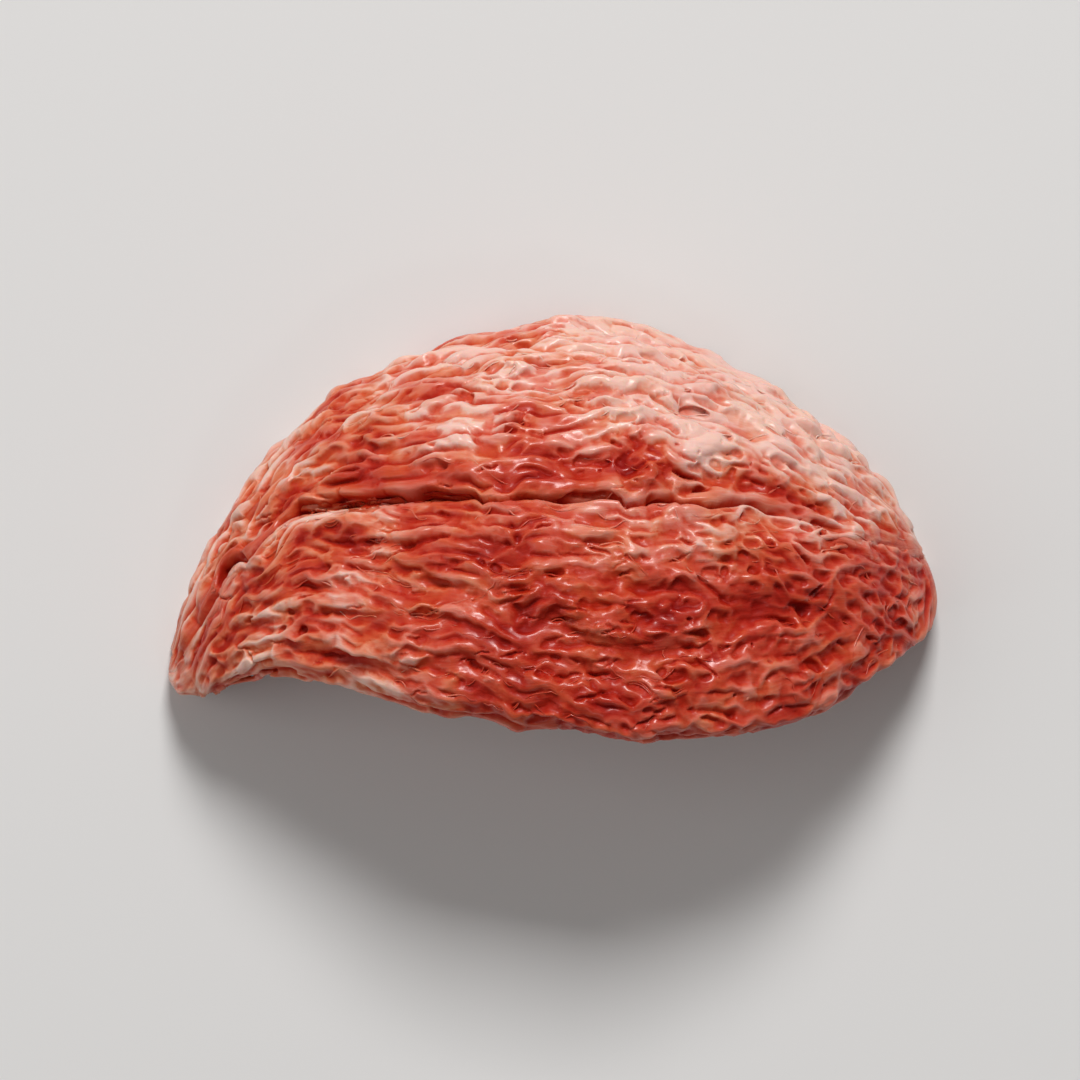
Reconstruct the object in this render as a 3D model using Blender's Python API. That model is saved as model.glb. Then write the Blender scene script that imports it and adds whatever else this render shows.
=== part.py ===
"""One edible birds nest: a half cup of fused strands, lying rim down with its hollow beneath it.

Metres, +Z up. X runs from foot to foot, +Y points to the rim and -Y to the open back that once met a wall.
The nest rests on z = 0, and its origin is below the middle of its box.
"""

import math

import bmesh
import bpy
from mathutils import Matrix, Vector, noise

MM = 0.001

# Driving dimensions
LENGTH = 73 * MM
RIM_REACH = 29.4 * MM
CROWN_HEIGHT = 26 * MM
WALL = 4.2 * MM

# The rim's outline in plan and the crown's arch, from their full size in the middle to nothing at the feet
ARCH_SQUARENESS = 2.2
RIM_TAPER = 0.7
CROWN_TAPER = 0.62

# Curves across the plan, each through a few (x, y) points between the feet
BACK_EDGE = (
    (-36.5 * MM, -0.6 * MM),
    (-33 * MM, -0.5 * MM),
    (-28 * MM, 1.7 * MM),
    (-24.5 * MM, 1.7 * MM),
    (-15 * MM, -1.9 * MM),
    (0.0, -7.5 * MM),
    (14 * MM, -10.4 * MM),
    (24 * MM, -8.9 * MM),
    (36.5 * MM, -3.5 * MM),
)
FOOT_LINE = (
    (-36.5 * MM, 0.0),
    (8 * MM, 0.0),
    (24 * MM, -1.0 * MM),
    (36.5 * MM, -2.2 * MM),
)
CREASE_LINE = (
    (-36.5 * MM, 1.0 * MM),
    (-33 * MM, 5.4 * MM),
    (-29 * MM, 10.4 * MM),
    (-22 * MM, 15.3 * MM),
    (-10 * MM, 14.8 * MM),
    (6 * MM, 12.4 * MM),
    (20 * MM, 10.4 * MM),
    (36.5 * MM, 3.0 * MM),
)

# The crease, where the upper layer of strands tucks behind the proud edge of the lower one
CREASE_DEPTH = 1.3 * MM
CREASE_WIDTH = 1.1 * MM
UPPER_LAYER_STEP = 1.1 * MM
UPPER_LAYER_RECOVERY = 9 * MM
LOWER_EDGE_SWELL = 0.5 * MM
LOWER_EDGE_WIDTH = 2.4 * MM
POINTS_DRAWN_TO_CREASE = 0.5
CREASE_END = 27 * MM
CREASE_FADE = 3.5 * MM

# The fused strands, long along the nest and narrow across it, and the broad lumps under them.
# They run beside the crease in the middle, beside the rim and the back edge there, and meet at the feet.
STRAND_HEIGHT = 1.5 * MM
STRAND_CREST = 0.4
STRAND_STEEPNESS = 2
STRAND_GRAIN = (11 * MM, 3 * MM)
WAVE_HEIGHT = 1.6 * MM
WAVE_LENGTH = 17 * MM
LUMP_HEIGHT = 1.1 * MM
LUMP_SIZE = 13 * MM
UPPER_LAYER_WIDTH = 30 * MM
LOWER_LAYER_WIDTH = 22 * MM
HOLLOW_WIDTH = 40 * MM
INNER_RELIEF = 0.7
CALM_AT_FEET = 1.2
OUTER_SEED = Vector((3.7, 1.3, 0.45))
INNER_SEED = Vector((11.2, 6.4, 2.55))

# The feet are solid. Their ends are rounded, from a slant that meets the outline.
FOOT_THICKENING = 7 * MM
FOOT_THICKENING_POWER = 9
HOLLOW_SOFTENING = 2 * MM
END_ROUND = 1.2 * MM
END_ROUND_FROM = math.radians(55)
END_ROWS = 3

# The edges of the wall. The rim touches the ground in its middle and at the feet, not in between.
RIM_ROUNDING = 0.8 * MM
BACK_EDGE_BULGE = 1.3 * MM
BACK_EDGE_WAVE = 0.9 * MM
BACK_EDGE_WAVE_LENGTH = 5 * MM
BACK_EDGE_SEED = 5.5
FURTHEST_BACK = -0.75
NEAREST_RIM = 0.95
RIM_LIFT = 0.6 * MM
RIM_LIFT_PLACE = 25 * MM
RIM_LIFT_SPREAD = 5 * MM

# How finely the solid is faceted
STATIONS = 54
UPPER_POINTS = 33
LOWER_POINTS = 32
EDGE_POINTS = 2
INNER_POINTS = 13
OUTER_POINTS = UPPER_POINTS + LOWER_POINTS
RING_POINTS = OUTER_POINTS + EDGE_POINTS + INNER_POINTS
SEWING_DISTANCE = 0.001 * MM

NEST_COLOUR = (0.49, 0.095, 0.052, 1.0)
NEST_ROUGHNESS = 0.5


def smooth_through(points, at):
    """The height at one place of a smooth curve through a few points."""
    index = max((i for i, point in enumerate(points[:-1]) if point[0] <= at), default=0)
    before = points[max(index - 1, 0)]
    start = points[index]
    end = points[index + 1]
    after = points[min(index + 2, len(points) - 1)]
    span = end[0] - start[0]
    share = min(max((at - start[0]) / span, 0.0), 1.0)
    start_slope = span * (end[1] - before[1]) / (end[0] - before[0])
    end_slope = span * (after[1] - start[1]) / (after[0] - start[0])
    rise = end[1] - start[1]
    square = share * share
    return (
        start[1]
        + start_slope * share
        + (3 * rise - 2 * start_slope - end_slope) * square
        + (start_slope + end_slope - 2 * rise) * square * share
    )


def bump(distance, spread):
    """A smooth hump of height 1."""
    return math.exp(-((distance / spread) ** 2))


def fullness(x, taper):
    """1 in the middle of the nest, falling to 0 at the tips of the feet."""
    share = min(abs(x) / (LENGTH / 2), 1.0)
    return (1 - share**ARCH_SQUARENESS) ** taper


class Section:
    """The wall's section across the nest at one x: part of an ellipse round the line between the feet."""

    def __init__(self, x):
        self.x = x
        self.middle = smooth_through(FOOT_LINE, x)
        self.reach = RIM_REACH * fullness(x, RIM_TAPER) - self.middle
        self.height = CROWN_HEIGHT * fullness(x, CROWN_TAPER)
        self.calm = (self.height / CROWN_HEIGHT) ** CALM_AT_FEET
        ragged = BACK_EDGE_WAVE * noise.noise(Vector((x / BACK_EDGE_WAVE_LENGTH, BACK_EDGE_SEED, 0.0)))
        self.back_angle = self.angle_at(smooth_through(BACK_EDGE, x) + self.calm * ragged)
        self.crease_angle = self.angle_at(smooth_through(CREASE_LINE, x))
        rise = smooth_through(CREASE_LINE, x + MM) - smooth_through(CREASE_LINE, x)
        self.crease_slant = math.hypot(1.0, rise / MM)

    def angle_at(self, y):
        """The angle round the foot line, from the rim at 0, at which the wall is over this y."""
        return math.acos(min(max((y - self.middle) / self.reach, FURTHEST_BACK), NEAREST_RIM))

    def wall(self):
        """How thick the wall is: it thickens to nearly solid at the feet."""
        share = abs(self.x) / (LENGTH / 2)
        return WALL + FOOT_THICKENING * share**FOOT_THICKENING_POWER

    def point(self, angle, lift=0.0, inside=False):
        """A point of the wall, lifted off its smooth ellipse."""
        y, z = self.reach * math.cos(angle), self.height * math.sin(angle)
        size = math.hypot(y, z)
        base = size
        if inside:
            hollow = size - self.wall()
            base = (hollow + math.hypot(hollow, HOLLOW_SOFTENING)) / 2
            lift *= base / size
        scale = (base + lift) / size
        return Vector((self.x, self.middle + y * scale, z * scale))


def relief(x, across, seed):
    """The height of the strands and lumps, at one place along and across their run."""
    place = Vector((x, across, 0.0))
    wave = WAVE_HEIGHT * noise.noise(place / WAVE_LENGTH + seed.zyx)
    grain = Vector((x / STRAND_GRAIN[0], (across + wave) / STRAND_GRAIN[1], 0.0))
    strand = STRAND_CREST - abs(noise.noise(grain + seed)) * STRAND_STEEPNESS
    lump = noise.noise(place / LUMP_SIZE + seed.yxz)
    return LUMP_HEIGHT * lump + STRAND_HEIGHT * strand


def crease(section, angle):
    """How the surface drops into the crease, steps back above it, and swells below it."""
    over = section.reach * (math.cos(angle) - math.cos(section.crease_angle)) / section.crease_slant
    fade = 1 / (1 + math.exp((section.x - CREASE_END) / CREASE_FADE))
    depth = CREASE_DEPTH * bump(over, CREASE_WIDTH)
    if over > 0:
        depth += UPPER_LAYER_STEP * math.exp(-over / UPPER_LAYER_RECOVERY)
    else:
        depth -= LOWER_EDGE_SWELL * bump(over, LOWER_EDGE_WIDTH)
    return fade * depth


def outer_point(section, place):
    """A point of the outside. One lies in the crease, and they are closer together beside it."""
    if place < UPPER_POINTS:
        share = 1 - place / UPPER_POINTS
        width, far_end = -UPPER_LAYER_WIDTH, -section.crease_angle
    else:
        share = (place - UPPER_POINTS) / (LOWER_POINTS - 1)
        width, far_end = LOWER_LAYER_WIDTH, section.back_angle - section.crease_angle
    share *= 1 - POINTS_DRAWN_TO_CREASE * (1 - share) ** 2
    angle = section.crease_angle + far_end * share
    lift = relief(section.x, width * share, OUTER_SEED) - crease(section, angle)
    if place == 0:
        lift -= RIM_ROUNDING
    return section.point(angle, section.calm * lift)


def inner_point(section, share):
    """A point of the hollow's wall, from the rim at share 0 to the back edge at share 1."""
    lift = INNER_RELIEF * relief(section.x, share * HOLLOW_WIDTH, INNER_SEED)
    return section.point(share * section.back_angle, section.calm * lift, inside=True)


def back_edge_point(section, share):
    """A point of the rounded back edge, between the outside at share 0 and the hollow at share 1."""
    outer, inner = outer_point(section, OUTER_POINTS - 1), inner_point(section, 1.0)
    onwards = Vector((0.0, -math.sin(section.back_angle), math.cos(section.back_angle)))
    return outer.lerp(inner, share) + onwards * BACK_EDGE_BULGE * section.calm


def ring_point(section, place):
    """One of the points round the wall's section: the outside, the back edge, then the inside."""
    place %= RING_POINTS
    if place < OUTER_POINTS:
        return outer_point(section, place)
    place -= OUTER_POINTS
    if place < EDGE_POINTS:
        return back_edge_point(section, (place + 1) / (EDGE_POINTS + 1))
    return inner_point(section, 1 - (place - EDGE_POINTS) / (INNER_POINTS - 1))


def rim_lift(point):
    """How far a point is raised for the rim to be off the ground, which is less the higher it is."""
    near_rim = max(1 - point.z / CROWN_HEIGHT, 0.0)
    return RIM_LIFT * bump(abs(point.x) - RIM_LIFT_PLACE, RIM_LIFT_SPREAD) * near_rim


def row_place(row):
    """Where a row of points lies, the section that it follows, and how much of it the end round leaves."""
    last = LENGTH / 2 - END_ROUND
    past = max(END_ROWS - row, row - END_ROWS - STATIONS, 0)
    station = min(max(row - END_ROWS, 0), STATIONS)
    section_x = -last * math.cos(math.pi * station / STATIONS)
    turn = END_ROUND_FROM + (math.pi / 2 - END_ROUND_FROM) * past / END_ROWS
    left_over = math.cos(turn) / math.cos(END_ROUND_FROM)
    onwards = END_ROUND * (math.sin(turn) - math.sin(END_ROUND_FROM)) / (1 - math.sin(END_ROUND_FROM))
    return section_x + math.copysign(onwards, section_x), section_x, left_over


def shell():
    """The wall as a rolled and sewn grid, whose ends are drawn together into the ends of the feet."""
    rows = STATIONS + 2 * END_ROWS
    nest = bmesh.new()
    bmesh.ops.create_grid(nest, x_segments=RING_POINTS, y_segments=rows, size=0.5)
    by_row = {}
    for vertex in nest.verts:
        by_row.setdefault(round((vertex.co.y + 0.5) * rows), []).append(vertex)
    for row, vertices in by_row.items():
        x, section_x, left_over = row_place(row)
        section = Section(section_x)
        middle = Vector((x, section.middle + section.reach / 4, section.height / 2))
        for vertex in vertices:
            point = ring_point(section, round((vertex.co.x + 0.5) * RING_POINTS))
            point.x = x
            vertex.co = middle.lerp(point, left_over)
            vertex.co.z += rim_lift(vertex.co)
    bmesh.ops.remove_doubles(nest, verts=nest.verts, dist=SEWING_DISTANCE)
    bmesh.ops.recalc_face_normals(nest, faces=nest.faces)
    return nest


def centre_on_origin(nest):
    """Moves the nest so that the origin is below the middle of its box."""
    lowest = [min(vertex.co[axis] for vertex in nest.verts) for axis in range(3)]
    highest = [max(vertex.co[axis] for vertex in nest.verts) for axis in range(3)]
    middle = Vector(((lowest[0] + highest[0]) / 2, (lowest[1] + highest[1]) / 2, lowest[2]))
    bmesh.ops.transform(nest, matrix=Matrix.Translation(-middle), verts=nest.verts)


def strand_material():
    """Dried red-brown strands."""
    material = bpy.data.materials.new("nest_strands")
    material.use_nodes = True
    surface = material.node_tree.nodes["Principled BSDF"]
    surface.inputs["Base Color"].default_value = NEST_COLOUR
    surface.inputs["Roughness"].default_value = NEST_ROUGHNESS
    surface.inputs["Metallic"].default_value = 0.0
    return material


def build():
    for old in list(bpy.data.objects):
        bpy.data.objects.remove(old)
    nest = shell()
    centre_on_origin(nest)
    mesh = bpy.data.meshes.new("nest")
    nest.to_mesh(mesh)
    nest.free()
    mesh.shade_smooth()
    mesh.materials.append(strand_material())
    bpy.context.scene.collection.objects.link(bpy.data.objects.new("nest", mesh))


build()
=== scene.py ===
# %% [markdown]
# # A dried birds nest of fused strands
#
# The real nest is half a cup, built by a small bird from threads of its own saliva. The threads dry hard and
# fuse, so the wall is one mass, with long wavy ridges, lens-shaped pores between them, and a waxy gloss.
# The solid of the frame has the nest's outline, its arch, its hollow and its crease. This script dresses it:
# strands are laid over a slightly shrunken copy, fused with it, and finer threads lie on the result.

# %% Load the frame
import math

import bmesh
import bpy
import numpy as np
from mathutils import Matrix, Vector
from mathutils.bvhtree import BVHTree
from mathutils.kdtree import KDTree


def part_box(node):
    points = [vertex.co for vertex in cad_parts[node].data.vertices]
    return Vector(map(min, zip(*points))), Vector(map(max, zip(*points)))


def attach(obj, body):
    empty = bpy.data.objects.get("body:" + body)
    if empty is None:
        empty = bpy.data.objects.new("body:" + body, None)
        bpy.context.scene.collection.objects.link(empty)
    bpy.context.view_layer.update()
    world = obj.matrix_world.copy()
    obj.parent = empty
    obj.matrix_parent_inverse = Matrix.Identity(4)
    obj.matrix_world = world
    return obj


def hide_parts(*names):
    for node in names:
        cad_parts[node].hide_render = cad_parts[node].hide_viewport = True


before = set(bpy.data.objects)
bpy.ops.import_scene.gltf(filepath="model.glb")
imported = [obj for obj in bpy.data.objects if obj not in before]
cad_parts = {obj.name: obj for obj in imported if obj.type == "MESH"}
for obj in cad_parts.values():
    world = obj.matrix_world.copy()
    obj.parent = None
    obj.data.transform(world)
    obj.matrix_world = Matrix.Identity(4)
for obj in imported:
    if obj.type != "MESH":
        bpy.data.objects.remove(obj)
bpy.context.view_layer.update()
MM = 0.001
low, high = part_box("nest")
print("the solid spans", [round((b - a) / MM, 1) for a, b in zip(low, high)], "mm")

# %% [markdown]
# ## A guide to lay strands on
#
# Every strand has to follow the wall, so the wall needs coordinates of its own. The wall bends round a line
# between the two feet, as an orange's peel bends round its core. Rays aimed at that line find the outside,
# and rays leaving it find the hollow's side. This is steadier than taking the nearest point of the solid,
# which jumps from one side of the wall to the other. The solid's mesh is loose triangles, so a copy of it is
# merged first.


# %% Merge a copy of the solid and find the line between the feet
SAME_PLACE = 0.001 * MM


def merged_copy():
    """The solid's mesh with its triangles sewn together."""
    copy = bmesh.new()
    copy.from_mesh(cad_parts["nest"].data)
    bmesh.ops.remove_doubles(copy, verts=copy.verts, dist=SAME_PLACE)
    return copy


guide = merged_copy()
guide_tree = BVHTree.FromBMesh(guide)
FOOT_LENGTH = 1.5 * MM
foot_ends = []
for end in (low.x, high.x):
    ys = [vertex.co.y for vertex in guide.verts if abs(vertex.co.x - end) < FOOT_LENGTH]
    foot_ends.append(sum(ys) / len(ys))
print(len(guide.verts), "points, feet at y", [round(y / MM, 1) for y in foot_ends], "mm")


def foot_line(x):
    """How far towards the rim the line between the feet is, at each x."""
    return np.interp(x, (low.x, high.x), foot_ends)


# %% Shoot rays at both sides of the wall
STATION_GAP = 0.5 * MM
END_GAP = 0.7 * MM
LINE_HEIGHT = 0.1 * MM
RAY_LENGTH = 60 * MM
stations = np.arange(low.x + END_GAP, high.x - END_GAP, STATION_GAP)
angles = np.radians(np.arange(1.0, 160.0, 1.0))


def rays_at(x, inside):
    """The wall's points at one x, and the angles round the foot line at which rays met them."""
    hits, met = [], []
    middle = Vector((x, float(foot_line(x)), LINE_HEIGHT))
    for angle in angles:
        outwards = Vector((0, math.cos(angle), math.sin(angle)))
        if inside:
            hit, normal, *_ = guide_tree.ray_cast(middle, outwards, RAY_LENGTH)
        else:
            hit, normal, *_ = guide_tree.ray_cast(middle + outwards * RAY_LENGTH, -outwards, RAY_LENGTH)
        if hit and (normal.dot(outwards) < 0) == inside:
            hits.append(hit)
            met.append(angle)
    return np.array(hits), np.array(met)


outer_rays = [rays_at(x, False) for x in stations]
inner_rays = [rays_at(x, True) for x in stations]
print("outer rays met the wall", sum(len(met) for _, met in outer_rays), "times")

# %% [markdown]
# ## Charts of the two sides
#
# A chart is a grid of points on one side of the wall. Its rows are places along the nest, and its columns
# run across it: v is -1 at the rim, 0 in the crease between the two layers of strands, and 1 at the back
# edge. Lines of constant v meet at the feet, just as the strands do, so a strand only has to follow its v.

# %% The chart, read at any place
CREASE_LINE = (
    (-36.5 * MM, -8.6 * MM),
    (-33 * MM, -4.2 * MM),
    (-29 * MM, 0.8 * MM),
    (-22 * MM, 5.7 * MM),
    (-10 * MM, 5.2 * MM),
    (6 * MM, 2.8 * MM),
    (20 * MM, 0.8 * MM),
    (36.5 * MM, -6.6 * MM),
)
SMOOTHINGS = 3


class Chart:
    """One side of the wall as a grid of points, with the ways along and across it at each."""

    def __init__(self, xs, vs, points, facing):
        self.xs, self.vs, self.points = xs, vs, points
        self.along = np.gradient(points, xs, axis=0)
        self.across = np.gradient(points, vs, axis=1)
        self.cells = np.linalg.norm(np.cross(self.along, self.across), axis=2, keepdims=True)
        self.breadths = self.cells / np.linalg.norm(self.along, axis=2, keepdims=True)
        normals = facing * np.cross(self.along, self.across)
        for _ in range(SMOOTHINGS):
            normals[1:-1] = (normals[:-2] + normals[1:-1] + normals[2:]) / 3
            normals[:, 1:-1] = (normals[:, :-2] + normals[:, 1:-1] + normals[:, 2:]) / 3
        self.normals = normals / np.linalg.norm(normals, axis=2, keepdims=True)

    def read(self, table, x, v):
        """A table's values at places between its rows and columns."""
        row = np.clip(np.interp(x, self.xs, np.arange(len(self.xs))), 0, len(self.xs) - 1.001)
        column = np.clip(np.interp(v, self.vs, np.arange(len(self.vs))), 0, len(self.vs) - 1.001)
        r, c = row.astype(int), column.astype(int)
        down, right = (row - r)[..., None], (column - c)[..., None]
        upper = table[r, c] * (1 - right) + table[r, c + 1] * right
        lower = table[r + 1, c] * (1 - right) + table[r + 1, c + 1] * right
        return upper * (1 - down) + lower * down

    def breadth(self, x, v):
        """How far apart, square to the strands, two lines are whose v differs by 1."""
        return self.read(self.breadths, x, v)[..., 0]


# %% Two charts through the points that the rays met
COLUMNS = 81
FEWEST_HITS = 20
HOLLOW_HALF = 31 * MM
crease_xs, crease_ys = np.array(CREASE_LINE).T


def crease_angle(x, hits, met):
    """The angle at which the crease crosses this section."""
    return np.interp(-np.interp(x, crease_xs, crease_ys), -hits[:, 1], met)


rim_angles = np.array([met[0] for _, met in outer_rays])
back_angles = np.array([met[-1] for _, met in outer_rays])
crease_angles = np.array([crease_angle(x, *rays) for x, rays in zip(stations, outer_rays)])


def chart_of(rays, chosen, vs, facing):
    """A chart through the points that the rays met, spread over v."""
    rows = []
    for index in chosen:
        hits, met = rays[index]
        wanted = np.interp(vs, (-1, 0, 1), (rim_angles[index], crease_angles[index], back_angles[index]))
        rows.append(np.stack([np.interp(wanted, met, hits[:, axis]) for axis in range(3)], axis=1))
    return Chart(stations[chosen], vs, np.array(rows), facing)


every_v = np.linspace(-1, 1, COLUMNS)
outside = chart_of(outer_rays, range(len(stations)), every_v, -1)
hollow_stations = [
    index
    for index, (_, met) in enumerate(inner_rays)
    if len(met) > FEWEST_HITS and abs(stations[index]) < HOLLOW_HALF
]
hollow = chart_of(inner_rays, hollow_stations, every_v, 1)
print("outside chart", outside.points.shape, "hollow chart", hollow.points.shape)

# %% The chart across the back edge
EDGE_BULGE = 0.9 * MM
edge_ts = np.linspace(0, 1, 9)


def edge_chart():
    """The back edge, from the outside at 0 round to the hollow at 1."""
    xs = hollow.xs
    outer_end = outside.read(outside.points, xs, np.full(len(xs), 1.0))
    inner_end = hollow.read(hollow.points, xs, np.full(len(xs), 1.0))
    turn = np.interp(xs, stations, back_angles)
    onwards = np.stack([np.zeros(len(xs)), -np.sin(turn), np.cos(turn)], axis=1)
    rows = [
        outer_end * (1 - t) + inner_end * t + onwards * EDGE_BULGE * math.sin(math.pi * t)
        for t in edge_ts
    ]
    return Chart(xs, edge_ts, np.stack(rows, axis=1), -1)


back_edge = edge_chart()
print("back edge chart", back_edge.points.shape)


# %% Read and move a mesh's points, and find their places on the chart
def point_rows(mesh, field="co"):
    """A mesh's points, or their normals, as rows of an array."""
    flat = np.empty(len(mesh.vertices) * 3, np.float32)
    mesh.vertices.foreach_get(field, flat)
    return flat.reshape(-1, 3).astype(float)


def move_points(mesh, places):
    """Puts a mesh's points at new places."""
    mesh.vertices.foreach_set("co", places.astype(np.float32).ravel())
    mesh.update()


def charted(places):
    """The x and v of points, and how far each is inside the outer chart."""
    x = np.clip(places[:, 0], stations[0], stations[-1])
    up, over = places[:, 2], places[:, 1] - foot_line(x)
    angle = np.arctan2(up, over)
    rim, crease, back = (np.interp(x, stations, table) for table in (rim_angles, crease_angles, back_angles))
    v = np.where(angle < crease, (angle - crease) / (crease - rim), (angle - crease) / (back - crease))
    v = np.clip(v, -1, 1)
    surface = outside.read(outside.points, x, v)
    reach = np.hypot(surface[:, 1] - foot_line(x), surface[:, 2])
    return x, v, reach - np.hypot(over, up)

# %% [markdown]
# ## How a strand grows
#
# A bird drags each thread along the nest and weaves its head a little from side to side. So a strand starts
# somewhere, heads along the nest, and wanders off by a few degrees as a slow wave. Neighbours share the
# wave, because each follows the last one, and each also has a small drift of its own, so that strands meet,
# part, and leave lens-shaped pores. All strands of a kind grow together, one step at a time, as arrays.

# %% Waves, scattered places and growth
EVEN_STEPS = (0.7548776662, 0.5698402910)
NARROWEST = 2 * MM


def ripple(places, wavelength, seed):
    """A smooth wandering value, mostly between -1.5 and 1.5, from a few crossing waves."""
    dice = np.random.default_rng(seed)
    total = 0.0
    for _ in range(6):
        way = dice.normal(size=3)
        way *= dice.uniform(0.7, 1.5) * 2 * math.pi / wavelength / np.linalg.norm(way)
        total = total + np.sin(places @ way + dice.uniform(0, 2 * math.pi))
    return total / math.sqrt(3)


def scatter(chart, count, v_from, v_to, seed):
    """Places spread evenly over a band of a chart. Fewer are kept where the chart is narrow.

    Steps of these two lengths, wrapped round at 1, never crowd and never leave a row or a column.
    """
    dice = np.random.default_rng(seed)
    fullest = chart.cells.max()
    xs, vs = [], []
    spot = dice.uniform(size=2)
    while len(xs) < count:
        spot = (spot + EVEN_STEPS) % 1
        x = chart.xs[0] + spot[0] * (chart.xs[-1] - chart.xs[0])
        v = v_from + spot[1] * (v_to - v_from)
        if dice.uniform() * fullest < chart.read(chart.cells, np.array([x]), np.array([v]))[0, 0]:
            xs.append(x)
            vs.append(v)
    return np.array(xs), np.array(vs)


def grow(chart, places, lengths, drift, weave, steps, band, seed):
    """Strands as an array of strand, step and (x, v): each grows from its place along the nest."""
    dice = np.random.default_rng(seed)
    x, v = places
    wander, wavelength = weave
    way = dice.choice((-1.0, 1.0), size=len(x))
    way = np.where(x + lengths > chart.xs[-1], -1.0, way)
    way = np.where(x - lengths < chart.xs[0], 1.0, way)
    step = lengths / (steps - 1)
    path = []
    for _ in range(steps):
        v = np.clip(v, *band(x))
        path.append(np.stack([x, v], axis=1))
        heading = drift + wander * ripple(chart.read(chart.points, x, v), wavelength, seed)
        stretch = np.linalg.norm(chart.read(chart.along, x, v), axis=1)
        width = chart.breadth(x, v)
        x = np.clip(x + way * step * np.cos(heading) / stretch, chart.xs[0], chart.xs[-1])
        v = v + way * step * np.sin(heading) / np.maximum(width, NARROWEST)
    return np.stack(path, axis=1)


# %% [markdown]
# ## From paths to tubes
#
# A poly curve with a round bevel and a radius at each point makes a tube that swells and thins, which is
# what a drying thread does. All strands of a kind are splines of one curve, which becomes one mesh. The
# points are lifted off the chart along its normals, and none may go below the ground under the nest.

# %% Lay paths on a chart and make tubes of them
def laid(chart, path, lift):
    """Points in space for an array of places, lifted off the chart."""
    x, v = path[..., 0].ravel(), path[..., 1].ravel()
    offset = chart.read(chart.normals, x, v) * np.ravel(lift)[:, None]
    return (chart.read(chart.points, x, v) + offset).reshape(*path.shape[:2], 3)


def tapered(radii, steps, blunt, seed):
    """Each strand's radius along it: thin at its ends, and a little uneven."""
    dice = np.random.default_rng(seed)
    t = np.linspace(0, 1, steps)
    body = blunt + (1 - blunt) * np.sin(math.pi * t) ** 0.5
    beats, starts = dice.uniform(1, 3, (len(radii), 1)), dice.uniform(size=(len(radii), 1))
    return radii[:, None] * body * (1 + 0.2 * np.sin(2 * math.pi * (t * beats + starts)))


def tube_mesh(name, points, radii, roundness):
    """One mesh of closed tubes."""
    curve = bpy.data.curves.new(name, "CURVE")
    curve.dimensions = "3D"
    curve.bevel_depth = 1.0
    curve.bevel_resolution = roundness
    curve.use_fill_caps = True
    for run, thickness in zip(points, radii):
        run = run.copy()
        run[:, 2] = np.maximum(run[:, 2], thickness)
        spline = curve.splines.new("POLY")
        spline.points.add(len(run) - 1)
        spline.points.foreach_set("co", np.c_[run, np.ones(len(run))].ravel())
        spline.points.foreach_set("radius", thickness)
    holder = bpy.data.objects.new(name, curve)
    mesh = bpy.data.meshes.new_from_object(holder)
    bpy.data.objects.remove(holder)
    bpy.data.curves.remove(curve)
    return mesh


# %% [markdown]
# ## The strands of the two layers
#
# The bird built the outside in two layers that meet in the crease. Strands are laid in three sizes. Thick
# ones lie deepest. Thinner ones cross them at a small angle and tie them together. On the left they lie
# almost parallel, and to the right they stray more and more, until they form a net. A strand rises out of
# the mass and sinks back into it, so none has an open end. None crosses the crease, so it stays open as a
# dark line. It runs from the pointed foot, where it gapes a little, and closes before the blunt one.

# %% Where strands may lie
CREASE_END = 21 * MM
CREASE_CLOSING = 3.5 * MM
CREASE_ROOM = 0.14 * MM
CREASE_SWAY = 0.14 * MM
FOOT_ROOM = 0.3 * MM
GAPING = (-26 * MM, -18 * MM)
FAR_SIDE = 0.985
FEET_THINNING = 0.45


def rise(x, middle, width):
    """A soft step from 0 up to 1, or from 1 down to 0 where the width is negative."""
    return 1 / (1 + np.exp(-(x - middle) / width))


def crease_fade(x):
    """1 where the crease is open, falling to 0 towards the blunt foot."""
    return rise(x, CREASE_END, -CREASE_CLOSING)


def crease_room(x, radii):
    """How far a strand beside the crease lies from its middle."""
    return np.interp(x, GAPING, (FOOT_ROOM, CREASE_ROOM)) * crease_fade(x) + radii


def crease_sway(x):
    """How far the crease wanders off v = 0 at each x."""
    return CREASE_SWAY * (np.sin(x / (1.1 * MM)) + 0.8 * np.sin(x / (0.63 * MM) + 1.0))


def layer_band(side, reach=None):
    """The band of a layer, or a strip of it beside the crease: side is -1 towards the rim, else 1."""

    def band(x, radii):
        width = outside.breadth(x, np.zeros(len(x)))
        near = (crease_room(x, radii) + side * crease_sway(x)) / width
        far = FAR_SIDE if reach is None else near + crease_room(x, reach) / width
        return (near, np.maximum(far, near)) if side > 0 else (-np.maximum(far, near), -near)

    return band


def everywhere(x, radii):
    """The whole of a chart but its very edges."""
    return -FAR_SIDE, FAR_SIDE


def disorder(x, v):
    """How far strands stray from the run of the nest, in radians."""
    return 0.09 + rise(x, 12 * MM, 5 * MM) * np.where(v < 0, 0.2, 0.38)


def towards_feet(x):
    """1 over the middle of the nest, falling at the feet."""
    return 1 - FEET_THINNING * (np.abs(x) / high.x) ** 3


# %% Lay a set of strands
STEPS = 16
SINK = 0.35 * MM
FADING_SINK = 1.2 * MM
UNEVEN = 0.13 * MM
WAVE = 7 * MM
BEDDED = 0.35


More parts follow.
